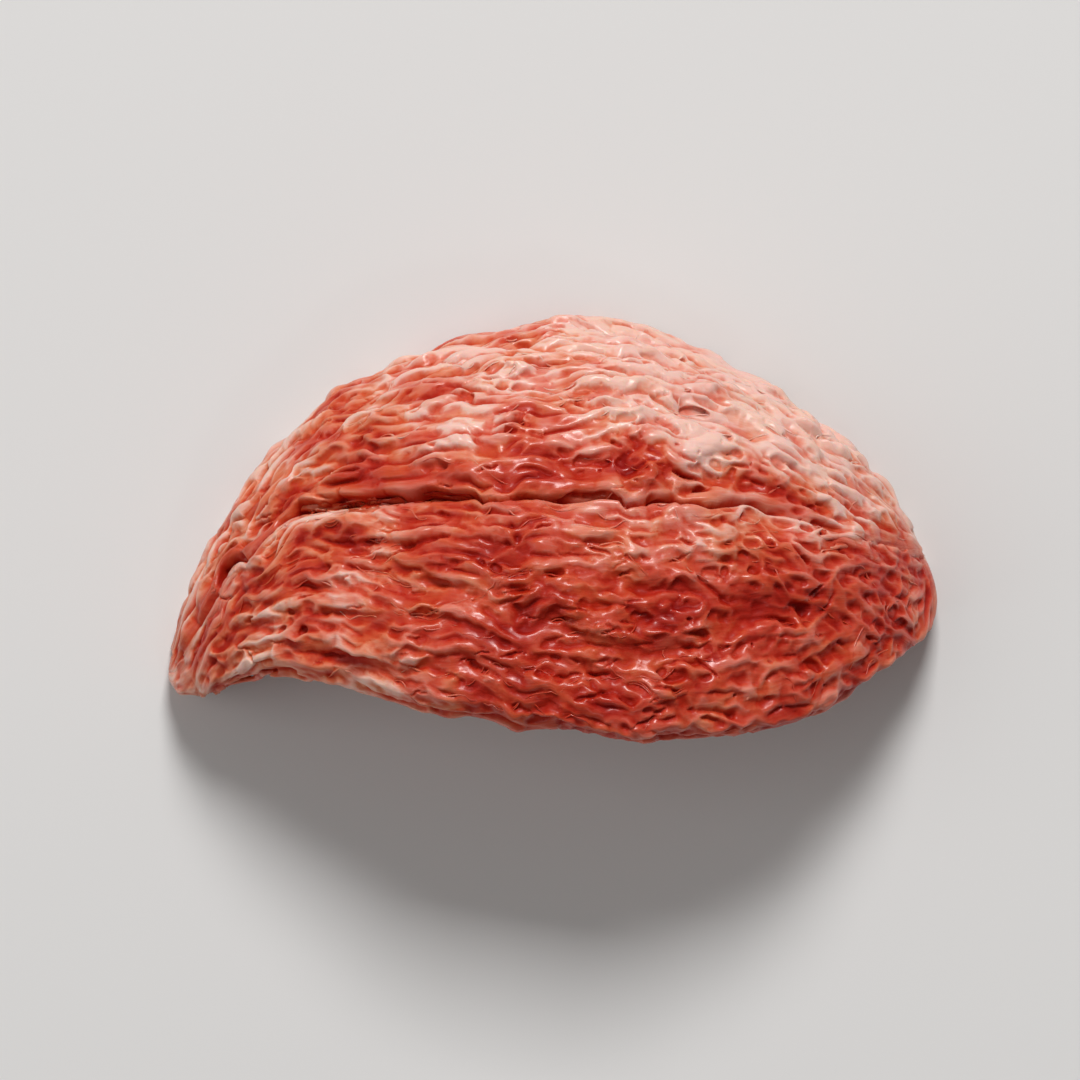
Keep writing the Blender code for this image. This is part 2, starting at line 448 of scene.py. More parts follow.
def strand_set(chart, count, span, length, radius, lift, weave, band, seed, stray=None, fading=False):
    """Points, radii and one number from 0 to 1 for each strand of a set."""
    dice = np.random.default_rng(seed + 1000)
    places = scatter(chart, count, *span, seed)
    lengths = dice.uniform(*length, count) * towards_feet(places[0])
    radii = dice.uniform(*radius, count) * towards_feet(places[0])
    drift = dice.normal(size=count) * (disorder(*places) if stray is None else stray)
    path = grow(chart, places, lengths, drift, weave, STEPS, lambda x: band(x, radii), seed)
    thickness = tapered(radii, STEPS, 0.5, seed)
    heights = dice.uniform(*lift, (count, 1)) - thickness * BEDDED
    heights = heights - SINK * (1 - np.sin(math.pi * np.linspace(0, 1, STEPS))) ** 2
    heights = heights + UNEVEN * ripple(path * (1.0, 10 * MM) @ np.eye(2, 3), WAVE, seed + 5)
    if fading:
        heights = heights - FADING_SINK * (1 - crease_fade(path[..., 0]))
    return laid(chart, path, heights), thickness, dice.uniform(size=count)


# Each size has a count, ranges of length, radius and lift, and how far its strands weave and how slowly.
SIZES = (
    (240, (7 * MM, 16 * MM), (0.38 * MM, 0.62 * MM), (-0.8 * MM, -0.15 * MM), (0.24, 6 * MM)),
    (460, (4 * MM, 9 * MM), (0.27 * MM, 0.42 * MM), (-0.45 * MM, 0.1 * MM), (0.3, 5 * MM)),
    (420, (3 * MM, 6.5 * MM), (0.17 * MM, 0.25 * MM), (-0.2 * MM, 0.15 * MM), (0.45, 3.5 * MM)),
)
layers = {}
for name, side, seed in (("upper_layer", -1, 24), ("lower_layer", 1, 21)):
    span = sorted((0.04 * side, FAR_SIDE * side))
    layers[name] = [
        strand_set(outside, count, span, length, radius, lift, weave, layer_band(side), seed + 20 * turn)
        for turn, (count, length, radius, lift, weave) in enumerate(SIZES)
    ]
print(sum(len(points) for sets in layers.values() for points, *_ in sets), "strands in the two layers")

# %% [markdown]
# ## The feet
#
# All strands draw together where the nest was fixed to the rock. Each layer gets strands of its own that run
# from the tips of the feet inwards. Others lie deep in the groove between the layers, whose walls would
# else be bare.

# %% Strands that end in the two feet
TIP_DEPTH = 1.5 * MM
FOOT_RADIUS = (0.26 * MM, 0.42 * MM)
GROOVE_RADIUS = (0.24 * MM, 0.36 * MM)


def foot_set(count, across, reach, radius, lift, band, seed):
    """Strands that run from the tips of the feet inwards."""
    dice = np.random.default_rng(seed)
    ends = np.where(np.arange(count) % 2, outside.xs[0], outside.xs[-1])
    starts = ends - np.sign(ends) * dice.uniform(0, TIP_DEPTH, count)
    radii = dice.uniform(*radius, count)
    places = starts, dice.uniform(*across, count)
    lengths = dice.uniform(0.5, 1.0, count) * reach
    drift = dice.normal(size=count) * 0.05
    path = grow(outside, places, lengths, drift, (0.2, 5 * MM), STEPS, lambda x: band(x, radii), seed)
    thickness = tapered(radii, STEPS, 0.6, seed)
    points = laid(outside, path, dice.uniform(*lift, (count, 1)) - thickness * BEDDED)
    return points, thickness, dice.uniform(size=count)


FEET = (
    ("upper_layer", 34, (-0.96, -0.12), 12 * MM, FOOT_RADIUS, -0.35 * MM, layer_band(-1), 31),
    ("lower_layer", 40, (0.12, 0.96), 12 * MM, FOOT_RADIUS, -0.35 * MM, layer_band(1), 32),
    ("upper_layer", 44, (-0.08, 0.05), 16 * MM, GROOVE_RADIUS, -0.5 * MM, everywhere, 33),
)
for name, count, across, reach, radius, lowest, band, seed in FEET:
    layers[name].append(foot_set(count, across, reach, radius, (lowest, 0.0), band, seed))
print(sum(row[1] for row in FEET), "strands end in the feet")

# %% [markdown]
# ## Edges of the layers
#
# Each layer ends at the crease in a rope of long strands. The rim and the back edge are finished the same
# way by the bird, with strands laid along them.

# %% Strands along the crease, the rim and the back edge
ROPE_BREADTH = 0.5 * MM
RIM = (-0.99, -0.93)
EDGE = (0.0, 1.0)
EDGE_RADIUS = (0.35 * MM, 0.6 * MM)
for name, side, lift in (("upper_layer", -1, 0.3 * MM), ("lower_layer", 1, 0.0)):
    layers[name].append(
        strand_set(
            outside, 42, sorted((0.03 * side, 0.08 * side)), (10 * MM, 24 * MM), (0.34 * MM, 0.56 * MM),
            (lift - 0.3 * MM, lift), (0.2, 7 * MM), layer_band(side, ROPE_BREADTH), 60 + side, 0.04, True,
        )
    )
layers["upper_layer"].append(
    strand_set(
        outside, 60, RIM, (8 * MM, 18 * MM), EDGE_RADIUS, (-0.5 * MM, 0.0),
        (0.12, 9 * MM), lambda x, radii: RIM, 71, 0.06,
    )
)
layers["lower_layer"].append(
    strand_set(
        back_edge, 70, EDGE, (6 * MM, 14 * MM), EDGE_RADIUS, (-0.8 * MM, -0.2 * MM),
        (0.15, 8 * MM), lambda x, radii: EDGE, 72, 0.1,
    )
)
print(sum(len(points) for sets in layers.values() for points, *_ in sets), "strands with those at the edges")

# %% [markdown]
# ## A core for each layer
#
# The strands need something to fuse with. A copy of the solid is parted at the crease by a tall wall, and
# each half is shrunk by a little less than a strand's thickness, so that the strands bring it back to size
# and the gaps between them are pores. The halves overlap a little, so that no light shows through the
# crease, and each is a little lower where it runs on under the other. Shrinking also lifts the rim off the
# ground, so its lowest part is let down again.

# %% Modifiers applied in a row, and a bmesh kept as a mesh


def finished(mesh, name, steps):
    """The mesh after a few modifiers, as a mesh."""
    holder = bpy.data.objects.new(name, mesh)
    bpy.context.scene.collection.objects.link(holder)
    for kind, settings in steps:
        modifier = holder.modifiers.new(kind.lower(), kind)
        for key, value in settings.items():
            setattr(modifier, key, value)
    bpy.context.view_layer.update()
    seen = holder.evaluated_get(bpy.context.evaluated_depsgraph_get())
    done = bpy.data.meshes.new_from_object(seen)
    bpy.data.objects.remove(holder)
    return done


def as_mesh(shape, name):
    """A bmesh turned into a mesh and freed."""
    mesh = bpy.data.meshes.new(name)
    shape.to_mesh(mesh)
    shape.free()
    return mesh


# %% Part and shrink a copy of the solid
TUCK = 0.7 * MM
FOOT_TUCK = 0.2 * MM
CLOSING = 0.12 * MM
OVERLAP = 1.2 * MM
FLAP_SINK = 0.35 * MM
FLAP_START = 0.5 * MM
CORE_VOXEL = 0.4 * MM
CORE_LOWERING = (0.9 * MM, 0.0, 3 * MM)
FAR = 60 * MM


def crease_wall(side):
    """A block that covers one layer in plan, with the crease as one of its sides."""
    edge = [(x, y + side * OVERLAP) for x, y in CREASE_LINE]
    outline = [(-FAR, edge[0][1]), *edge, (FAR, edge[-1][1]), (FAR, -side * FAR), (-FAR, -side * FAR)]
    block = bmesh.new()
    face = block.faces.new([block.verts.new((x, y, -FAR)) for x, y in outline])
    grown = bmesh.ops.extrude_face_region(block, geom=[face])["geom"]
    tops = [item for item in grown if isinstance(item, bmesh.types.BMVert)]
    bmesh.ops.translate(block, verts=tops, vec=(0, 0, 2 * FAR))
    bmesh.ops.recalc_face_normals(block, faces=block.faces)
    return bpy.data.objects.new("wall", as_mesh(block, "wall"))


def let_down(heights, lifted, left, reach):
    """Heights pressed towards the ground: lifted comes down to left, and nothing above reach moves."""
    return np.where(heights < reach, np.interp(heights, (0, lifted, reach), (0, left, reach)), heights)


def layer_core(side):
    """The shrunken half of the solid under one layer."""
    wall = crease_wall(side)
    bpy.context.scene.collection.objects.link(wall)
    steps = (
        ("BOOLEAN", {"operation": "INTERSECT", "object": wall}),
        ("REMESH", {"mode": "VOXEL", "voxel_size": CORE_VOXEL}),
        ("SMOOTH", {"factor": 0.5, "iterations": 4}),
    )
    half = finished(as_mesh(merged_copy(), "core"), "core", steps)
    bpy.data.objects.remove(wall)
    places = point_rows(half)
    x, v, _ = charted(places)
    past_crease = np.clip(-side * v * outside.breadth(x, v) / FLAP_START, 0, 1)
    inset = TUCK + (FOOT_TUCK - TUCK) * (np.abs(x) / high.x) ** 4 + FLAP_SINK * past_crease - CLOSING
    places -= point_rows(half, "normal") * inset[:, None]
    places[:, 2] = let_down(places[:, 2], *CORE_LOWERING)
    move_points(half, places)
    return half


cores = {"upper_layer": layer_core(-1), "lower_layer": layer_core(1)}
print("cores have", [len(core.polygons) for core in cores.values()], "faces")

# %% [markdown]
# ## Fine strands on top
#
# The finest of the fused strands are dropped on what is there already. Rays find the tops of the tubes, and
# each strand is lifted to about the mean height along it, so that it spans a gap and doesn't fall in.

# %% Drop fine strands
THREAD_REACH = 3 * MM
THREAD_STEPS = 14
MISSED = -0.3 * MM
STIFFNESS = 0.7


def dropped(chart, path, skin, radii, sunk):
    """The path laid on the skin, which is found with rays down the chart's normals."""
    x, v = path[..., 0].ravel(), path[..., 1].ravel()
    points, normals = chart.read(chart.points, x, v), chart.read(chart.normals, x, v)
    heights = []
    for point, normal in zip(points, normals):
        way = Vector(normal)
        hit, *_ = skin.ray_cast(Vector(point) + way * THREAD_REACH, -way, 2 * THREAD_REACH)
        heights.append((hit - Vector(point)).dot(way) if hit else MISSED)
    heights = np.array(heights).reshape(path.shape[:2])
    mean = heights.copy()
    for _ in range(SMOOTHINGS):
        mean[:, 1:-1] = (mean[:, :-2] + mean[:, 1:-1] + mean[:, 2:]) / 3
    heights = 0.3 * np.maximum(heights, mean) + STIFFNESS * mean - sunk * radii
    return laid(chart, path, heights)


def thread_set(chart, skin, count, span, length, radius, weave, band, seed, stray=None, sunk=0.1):
    """Threads on a skin: points, radii and one number for each."""
    dice = np.random.default_rng(seed + 500)
    places = scatter(chart, count, *span, seed)
    drift = dice.normal(size=count) * (disorder(*places) * 1.5 if stray is None else stray)
    lengths = dice.uniform(*length, count) * towards_feet(places[0])
    radii = dice.uniform(*radius, count)
    path = grow(chart, places, lengths, drift, weave, THREAD_STEPS, lambda x: band(x, radii), seed)
    thickness = tapered(radii, THREAD_STEPS, 0.4, seed)
    return dropped(chart, path, skin, thickness, sunk), thickness, dice.uniform(size=count)


def skin_of(meshes):
    """A tree for rays of a few meshes together."""
    together = bmesh.new()
    for mesh in meshes:
        together.from_mesh(mesh)
    tree = BVHTree.FromBMesh(together)
    together.free()
    return tree


for name, side, seed in (("upper_layer", -1, 101), ("lower_layer", 1, 102)):
    tubes = [tube_mesh("tubes", points, radii, 1) for points, radii, _ in layers[name]]
    span = sorted((0.03 * side, 0.97 * side))
    fine = thread_set(
        outside, skin_of([cores[name], *tubes]), 520, span, (3 * MM, 7 * MM), (0.12 * MM, 0.17 * MM),
        (0.42, 4 * MM), layer_band(side), seed, sunk=0.3,
    )
    layers[name].append(fine)

# %% [markdown]
# ## Fuse each layer
#
# Everything is made a little too thick, a voxel remesh melts tubes and core into one closed skin, and the
# skin then moves inwards by the same amount. Crests come back to size, but narrow gaps stay filled and joins
# stay rounded, as wet saliva leaves them. Smoothing takes off the steps of the voxels. When a skin is done,
# its triangles are thinned out, and its rim is let down, because the nest stands on it.

# %% Melt and thin out
VOXEL = 0.17 * MM
LAYER_TRIANGLES = 192_000
RIM_LOWERING = (0.3 * MM, 0.05 * MM, 2 * MM)


def fused(name, core, tubes, voxel, rounding):
    """One closed mesh of a core and tubes, melted together, with narrow gaps filled."""
    together = bmesh.new()
    if core:
        together.from_mesh(core)
    for points, radii, _ in tubes:
        together.from_mesh(tube_mesh("tubes", points, radii + CLOSING, 2))
    steps = (
        ("REMESH", {"mode": "VOXEL", "voxel_size": voxel}),
        ("SMOOTH", {"factor": 0.5, "iterations": 2}),
        ("DISPLACE", {"strength": -CLOSING, "mid_level": 0.0}),
        ("SMOOTH", {"factor": 0.5, "iterations": rounding}),
    )
    melted = finished(as_mesh(together, name), name, steps)
    print(name, "has", 2 * len(melted.polygons), "triangles before it is thinned out")
    return melted


def thinned(mesh, name, triangles):
    """The mesh with only as many triangles as a piece may have, let down to the ground."""
    ratio = min(1.0, triangles / (2 * len(mesh.polygons)))
    mesh = finished(mesh, name, (("DECIMATE", {"ratio": ratio, "use_collapse_triangulate": True}),))
    places = point_rows(mesh)
    places[:, 2] = let_down(places[:, 2], *RIM_LOWERING)
    move_points(mesh, places)
    return mesh


layer_meshes = {name: fused(name, cores[name], layers[name], VOXEL, 2) for name in layers}

# %% [markdown]
# ## The last strands
#
# The wet mass settled and its relief ran together. What shows on it are the strands that came last, which
# lie side by side with seams between them and sink into the mass at their ends. They could be tubes too, but
# tubes would cross. So they are laid one after the other, and each keeps only the stretch that has room
# beside those before it. Then a point's distances to the nearest strand and to the next one say how far up a
# strand it is and how near to a seam, and the point is moved by that.

# %% Strands side by side
LAST_STEPS = 30
LAST_COUNT = 900
LAST_ROOM = 0.3 * MM
SPACING = (0.6 * MM, 1.2 * MM)
SHORTEST = 2.8 * MM


def with_room(lines, rooms):
    """The lines in turn, each cut down to its longest stretch that keeps clear of those before it."""
    kept, taken = [], np.full((1, 3), 1.0)
    for line, room in zip(lines, rooms):
        gaps = np.sum(line**2, axis=1)[:, None] + np.sum(taken**2, axis=1) - 2 * line @ taken.T
        clear = np.min(gaps, axis=1) > room**2
        starts, ends = np.flatnonzero(np.diff(np.r_[0, clear, 0])).reshape(-1, 2).T
        if not len(starts):
            continue
        longest = np.argmax(ends - starts)
        run = line[starts[longest]:ends[longest]]
        if np.linalg.norm(np.diff(run, axis=0), axis=1).sum() < SHORTEST:
            continue
        taken = np.concatenate([taken, run])
        stops, steps = np.linspace(0, len(run) - 1, len(line)), np.arange(len(run))
        kept.append(np.stack([np.interp(stops, steps, run[:, axis]) for axis in range(3)], axis=1))
    return np.array(kept)


def last_strands(side, count, seed):
    """Points of short strands that lie side by side, and one number for each."""
    dice = np.random.default_rng(seed)
    places = scatter(outside, count, *sorted((0.04 * side, 0.96 * side)), seed)
    lengths = dice.uniform(4 * MM, 12 * MM, count) * (1 - 0.5 * rise(places[0], 10 * MM, 5 * MM))
    drift = dice.normal(size=count) * disorder(*places)
    band = layer_band(side)
    radii = np.full(count, LAST_ROOM)
    path = grow(outside, places, lengths, drift, (0.2, 5 * MM), LAST_STEPS, lambda x: band(x, radii), seed)
    points = with_room(laid(outside, path, np.zeros((count, LAST_STEPS))), dice.uniform(*SPACING, count))
    print(len(points), "last strands of", count, "found room")
    return points, None, dice.uniform(size=len(points))


last = {
    "upper_layer": last_strands(-1, LAST_COUNT, 121),
    "lower_layer": last_strands(1, LAST_COUNT, 122),
}

# %% Where a point is among them
SEAM_WIDTH = 0.36 * MM
NEIGHBOURS = 18
LONE_GAP = 2 * MM


def hump(offset, width):
    """1 at no offset, falling smoothly to 0 on both sides."""
    return np.exp(-((offset / width) ** 2))


def tree_of(points):
    """A tree that finds the nearest of many points."""
    tree = KDTree(len(points))
    for index, point in enumerate(points):
        tree.insert(point, index)
    tree.balance()
    return tree


def to_strand(places, points, index):
    """Each place's distance to a strand, and how much of its height the strand has there.

    The strand is given by the number of its point that is nearest to the place.
    """
    steps = points.shape[1]
    strand, step = index // steps, index % steps
    nearest = np.full(len(places), np.inf)
    body = np.zeros(len(places))
    for shift in (-1, 0):
        first = np.clip(step + shift, 0, steps - 2)
        start = points[strand, first]
        run = points[strand, first + 1] - start
        length_squared = np.maximum(np.sum(run * run, axis=1), (0.01 * MM) ** 2)
        share = np.clip(np.sum((places - start) * run, axis=1) / length_squared, 0, 1)
        gap = np.linalg.norm(places - start - run * share[:, None], axis=1)
        body = np.where(gap < nearest, np.sin(math.pi * (first + share) / (steps - 1)) ** 0.7, body)
        nearest = np.minimum(nearest, gap)
    return nearest, body


def packing(places, points):
    """For each place, the number of its strand, the strand's height there, and how near it is to a seam."""
    steps = points.shape[1]
    tree = tree_of(points.reshape(-1, 3))
    first, second = [], []
    for place in places:
        found = [index for _, index, _ in tree.find_n(place, NEIGHBOURS)]
        first.append(found[0])
        second.append(next((index for index in found if index // steps != found[0] // steps), -1))
    first, second = np.array(first), np.array(second)
    (near, body), (other, other_body) = (to_strand(places, points, index) for index in (first, second))
    alone, swapped = second < 0, (other < near) & (second >= 0)
    far = np.where(alone, LONE_GAP, np.maximum(near, other))
    near = np.minimum(near, np.where(alone, near, other))
    body, other_body = np.where(swapped, other_body, body), np.where(swapped, body, other_body)
    seam = np.sqrt(body * other_body) * hump(far - near, SEAM_WIDTH)
    flank = np.clip(2 * near / (near + far), 0, 1)
    return np.where(swapped, second, first) // steps, body * (1 - flank**2), np.where(alone, 0, seam)


# %% [markdown]
# ## The crease and the pores
#
# Between the two layers a groove runs from the left foot over the crown. The bird stopped there and began a
# new layer, so the upper layer's edge is steep and the lower one slopes into it. Small pores lie between the
# strands all over. Both are pressed into the fused skin while it is still dense, which is simple: each point
# near the groove or a pore moves inwards. A pore is a lens, long along the strands and narrow across them.
# Some pores at the blunt end are nearly round, because there the strands form a net.

# %% How deep the crease is
CREASE_DEPTH = 1.3 * MM
STEEP_SIDE = 0.24 * MM
GENTLE_SIDE = 0.4 * MM
FOOT_START = (-27 * MM, -20 * MM)


def crease_depth(x, v, places):
    """How deep the groove is at each place: wide and shallow at the pointed foot."""
    over = v * outside.breadth(x, v) - crease_sway(x)
    at_foot = np.interp(x, FOOT_START, (1, 0))
    side = np.where(over < 0, STEEP_SIDE, GENTLE_SIDE) * (1 + 0.3 * at_foot)
    uneven = np.clip(0.95 + 0.25 * ripple(places, 9 * MM, 72), 0.6, 1.2) * (1 - 0.5 * at_foot)
    return CREASE_DEPTH * crease_fade(x) * uneven * hump(over, side)


# %% How deep the pores are
PORE_WIDTH = (0.12, 0.26)
PORE_DEPTH = (1.2, 2.4)
PORE_WOBBLE = 0.07 * MM
PORE_REACH = 3 * MM


def pore_depth(places, x, v, outer, count, x_range, v_range, stretch, seed):
    """How deep the pores of one kind are at each place: lenses that lie along the strands."""
    dice = np.random.default_rng(seed)
    depth = np.zeros(len(places))
    order = np.argsort(places[:, 0])
    sorted_x = places[order, 0]
    wobble = PORE_WOBBLE * np.stack([ripple(places, 1.5 * MM, seed + axis) for axis in range(3)], axis=1)
    for pore_x, pore_v in zip(*scatter(outside, count, *v_range, seed)):
        if not x_range[0] < pore_x < x_range[1]:
            continue
        here = np.array([pore_x]), np.array([pore_v])
        middle = outside.read(outside.points, *here)[0]
        along, across = (outside.read(table, *here)[0] for table in (outside.along, outside.across))
        along, across = along / np.linalg.norm(along), across / np.linalg.norm(across)
        turn = dice.normal() * float(disorder(pore_x, pore_v)) * 1.5
        along, across = (
            along * math.cos(turn) + across * math.sin(turn),
            across * math.cos(turn) - along * math.sin(turn),
        )
        narrow = dice.uniform(*PORE_WIDTH) * MM
        long = narrow * dice.uniform(*stretch)
        near = order[slice(*np.searchsorted(sorted_x, (pore_x - long, pore_x + long)))]
        near = near[outer[near]]
        offset = places[near] + wobble[near] - middle
        lens = 1 - (offset @ along / long) ** 2 - (offset @ across / narrow) ** 2
        lens = np.where(np.linalg.norm(offset, axis=1) < PORE_REACH, lens, 0)
        deepest = dice.uniform(*PORE_DEPTH) * narrow
        depth[near] = np.maximum(depth[near], deepest * np.clip(lens, 0, 1) ** 0.8)
    return depth


# Each kind has a count, the ranges of x and v in which it lies, how much longer than wide it is, and a seed.
PORES = (
    (190, (-31 * MM, 14 * MM), (-0.93, 0.95), (2.5, 8.0), 81),
    (70, (5 * MM, 31 * MM), (-0.93, 0.95), (2.0, 5.0), 84),
    (130, (6 * MM, 29 * MM), (-0.85, -0.15), (1.0, 1.6), 87),
    (25, (6 * MM, 22 * MM), (0.6, 0.9), (1.0, 2.0), 90),
)


# %% [markdown]
# ## Press it all in
#
# One pass over the points of each skin adds everything up: the groove, the pores, the last strands and the
# settling. Settling flattens the relief a little, and wet saliva ran together in the deepest gaps, so these
# are filled again to most of their depth. All of it fades out at the rim, the back edge and the feet, where
# strands lie across each other, and on the hollow's side, which has a lining of its own.

# %% Move the points of each skin, then thin it out
SWELL = 0.42 * MM
SEAM_DEPTH = 0.3 * MM
SKIN = 2.2 * MM
MEAN_DEPTH = 0.35 * MM
POOL_DEPTH = 0.6 * MM
POOLED = 0.8


def last_relief(places, strands, wanted):
    """How far inwards the last strands' seams lie, and how far outwards their middles."""
    points, _, numbers = strands
    owner, height, seam = packing(places[wanted], points)
    kept = np.clip(0.7 + 0.6 * ripple(places[wanted], 6 * MM, 131), 0.0, 1.4)
    relief = np.zeros(len(places))
    relief[wanted] = SEAM_DEPTH * kept * seam - SWELL * (0.3 + numbers[owner]) * height
    return relief


def pooled(x, v, inside):
    """How far the deepest gaps are filled outwards, except in the groove."""
    off_crease = np.clip(np.abs(v) * outside.breadth(x, v) / MM - 0.6, 0, 1)
    return POOLED * np.maximum(inside - POOL_DEPTH, 0) * off_crease


def press(mesh, strands, flattening, strength):
    """Flattens the outside a little, and moves it inwards in the crease, the seams and the pores."""
    places = point_rows(mesh)
    x, v, inside = charted(places)
    outer = np.interp(inside, (0.7 * SKIN, SKIN), (1, 0)) * np.interp(np.abs(v), (0.92, 0.99), (1, 0))
    outer = outer * np.interp(np.abs(x), (high.x - 3.5 * MM, high.x - 1 * MM), (1, 0))
    depth = crease_depth(x, v, places) - flattening * (inside - MEAN_DEPTH) - pooled(x, v, inside)
    depth = depth + strength * last_relief(places, strands, outer > 0)
    for kind in PORES:
        depth = depth + pore_depth(places, x, v, outer > 0, *kind)
    move_points(mesh, places - outside.read(outside.normals, x, v) * (depth * outer)[:, None])


for name, flattening, strength in (("upper_layer", 0.0, 1.2), ("lower_layer", 0.05, 0.7)):
    press(layer_meshes[name], last[name], flattening, strength)
    layer_meshes[name] = thinned(layer_meshes[name], name, LAYER_TRIANGLES)
    print(name, "ends with", len(layer_meshes[name].polygons), "triangles")

# %% [markdown]
# ## The hollow
#
# Inside, the bird lays finer strands in all directions, and the eggs rub them smooth. They are a net on the
# hollow's wall, melted together in the same way as the outside, but as a piece of their own.

# %% The hollow's net
HOLLOW_TRIANGLES = 170_000
HOLLOW_VOXEL = 0.2 * MM
hollow_sets = [
    strand_set(
        hollow, 400, (-0.97, 0.97), (5 * MM, 12 * MM), (0.32 * MM, 0.6 * MM),
        (-0.8 * MM, -0.25 * MM), (0.35, 7 * MM), everywhere, 90, 0.3,
    ),
    strand_set(
        hollow, 750, (-0.97, 0.97), (3 * MM, 8 * MM), (0.18 * MM, 0.3 * MM),
        (-0.35 * MM, 0.05 * MM), (0.5, 5 * MM), everywhere, 91, 0.6,
    ),
]
lining_mesh = fused("hollow_lining", None, hollow_sets, HOLLOW_VOXEL, 2)
lining_mesh = thinned(lining_mesh, "hollow_lining", HOLLOW_TRIANGLES)
print("the lining ends with", len(lining_mesh.polygons), "triangles")

# %% [markdown]
# ## Loose threads
#
# Single threads dried last, on top of the fused skin, and only touch it here and there. They are too thin
# for the remesh, so they stay tubes of their own.

# %% Threads on the skin
TOUCHING = 0.0001 * MM
outer_skin = skin_of(list(layer_meshes.values()))
outer_threads = [
    thread_set(
        outside, outer_skin, count, sorted((0.03 * side, 0.97 * side)), (2.5 * MM, 7 * MM),
        (0.06 * MM, 0.12 * MM), (0.5, 4 * MM), layer_band(side), seed, sunk=0.4,
    )
    for side, count, seed in ((-1, 70, 111), (1, 90, 112))
]
hollow_threads = [
    thread_set(
        hollow, skin_of([lining_mesh, *layer_meshes.values()]), 560, (-0.95, 0.97), (3 * MM, 9 * MM),
        (0.06 * MM, 0.13 * MM), (0.45, 5 * MM), everywhere, 113, 0.7,
    )
]


def thread_mesh(name, threads):
    """The threads of a few sets as one mesh of closed tubes."""
    together = bmesh.new()
    for points, radii, _ in threads:
        together.from_mesh(tube_mesh(name, points, radii, 0))
    bmesh.ops.remove_doubles(together, verts=together.verts, dist=TOUCHING)
    return as_mesh(together, name)


outer_thread_mesh = thread_mesh("outer_threads", outer_threads)
hollow_thread_mesh = thread_mesh("hollow_threads", hollow_threads)
print("threads have", [len(mesh.polygons) for mesh in (outer_thread_mesh, hollow_thread_mesh)], "faces")

# %% [markdown]
# ## Numbers for the finish
#
# The finish depends on where a point is: on a crest, on a flank or in a pore, and on which strand. It also
# depends on how dry the place is, because strands are red while they hold water and turn pale as they dry.
# The same number also carries painted light: painted highlight makes the rim's shoulder and a band below the
# crease paler, and painted shade makes a band above the crease and the blunt foot darker.
# All of this is worked out once in code and kept on the points.


# %% Depth, crests and strands
def depth_below(mesh):
    """How far each point is below the solid's own surface, in millimetres."""
    return np.array(
        [
            (location - vertex.co).dot(normal) / MM
            for vertex in mesh.vertices
            for location, normal, *_ in (guide_tree.find_nearest(vertex.co),)
        ]
    )


def crests(mesh, reaches):
    """Above 0 on bulges and below 0 in hollows, in tenths of a millimetre, for a fine and a broad reach.

    A point is set against where it comes to when the mesh is smoothed as often as the reach says.
    """
    edges = np.empty(len(mesh.edges) * 2, np.int32)
    mesh.edges.foreach_get("vertices", edges)
    a, b = edges.reshape(-1, 2).T
    places, normals = point_rows(mesh), point_rows(mesh, "normal")
    count = np.bincount(a, minlength=len(places)) + np.bincount(b, minlength=len(places))
    smooth, found = places, []
    for turn in range(1, reaches[-1] + 1):
        total = np.stack(
            [
                np.bincount(a, smooth[b, axis], len(places)) + np.bincount(b, smooth[a, axis], len(places))
                for axis in range(3)
            ],
            axis=1,
        )
        smooth = (smooth + total / np.maximum(count, 1)[:, None]) / 2
        if turn in reaches:
            found.append(np.einsum("ij,ij->i", places - smooth, normals) / (0.1 * MM))
    return found


def nearest_strand(mesh, tubes):
    """The number of the strand nearest to each point."""
    points = np.concatenate([points.reshape(-1, 3) for points, *_ in tubes])
    numbers = np.concatenate([np.repeat(number, points.shape[1]) for points, _, number in tubes])
    tree = tree_of(points)
    return numbers[[tree.find(vertex.co)[1] for vertex in mesh.vertices]]


# %% Run and dryness
HALF_BREADTH = 18.0
INSIDE_DRYNESS = 0.44
THREAD_DRYNESS = 0.5
INSIDE = (1.5 * MM, 2.5 * MM)


def flow(mesh):
    """About how many millimetres along and across the run of the strands each point is."""
    x, v, _ = charted(point_rows(mesh))
    lengths = np.linalg.norm(np.diff(outside.points, axis=0), axis=2)
    runs = np.concatenate([np.zeros((1, COLUMNS)), np.cumsum(lengths, axis=0)])[..., None]
    along = outside.read(runs, x, v)[:, 0]
    return np.stack([along / MM, v * HALF_BREADTH, np.zeros(len(x))], axis=1)


def dryness_and_painted_light(mesh):
    """How pale the strands are, 0 to 1, partly dryness and partly painted light: most at the rim's shoulder,
    least by the crease.
    """
    x, v, inside = charted(point_rows(mesh))
    rightwards, leftwards = rise(x, 9 * MM, 4 * MM), rise(x, -12 * MM, -5 * MM)
    blunt_foot, crease = rise(x, 28 * MM, 1.6 * MM), crease_fade(x)
    rimwards = np.clip((-v - 0.04 + 0.12 * rightwards) / (0.5 - 0.16 * rightwards), 0, 1)
    on_upper = np.where(v < 0, crease, 0) + (1 - crease) * np.clip(0.5 - v / 0.6, 0, 1)
    # Painted highlight, partly real dryness: the upper layer and the rim's shoulder, most on the right, are
    # made paler.
    dry_and_painted_light = 0.325 + 0.195 * on_upper + rimwards * (0.18 + 0.31 * rightwards)
    dry_and_painted_light = dry_and_painted_light + np.where(v > 0, 0.2 * leftwards + 0.09 * rightwards, 0)
    # Painted highlight: a paler band on the lower layer's edge below the crease. Painted shade: a darker red
    # band on the upper layer's edge above it.
    dry_and_painted_light = dry_and_painted_light + 0.17 * hump(v - 0.12, 0.1) - 0.2 * hump(v + 0.08, 0.08) * crease
    # Painted shade: the upper layer is made darker towards the blunt foot.
    dry_and_painted_light = dry_and_painted_light - 0.2 * on_upper * blunt_foot
    return dry_and_painted_light + (INSIDE_DRYNESS - dry_and_painted_light) * np.interp(inside, INSIDE, (0, 1))


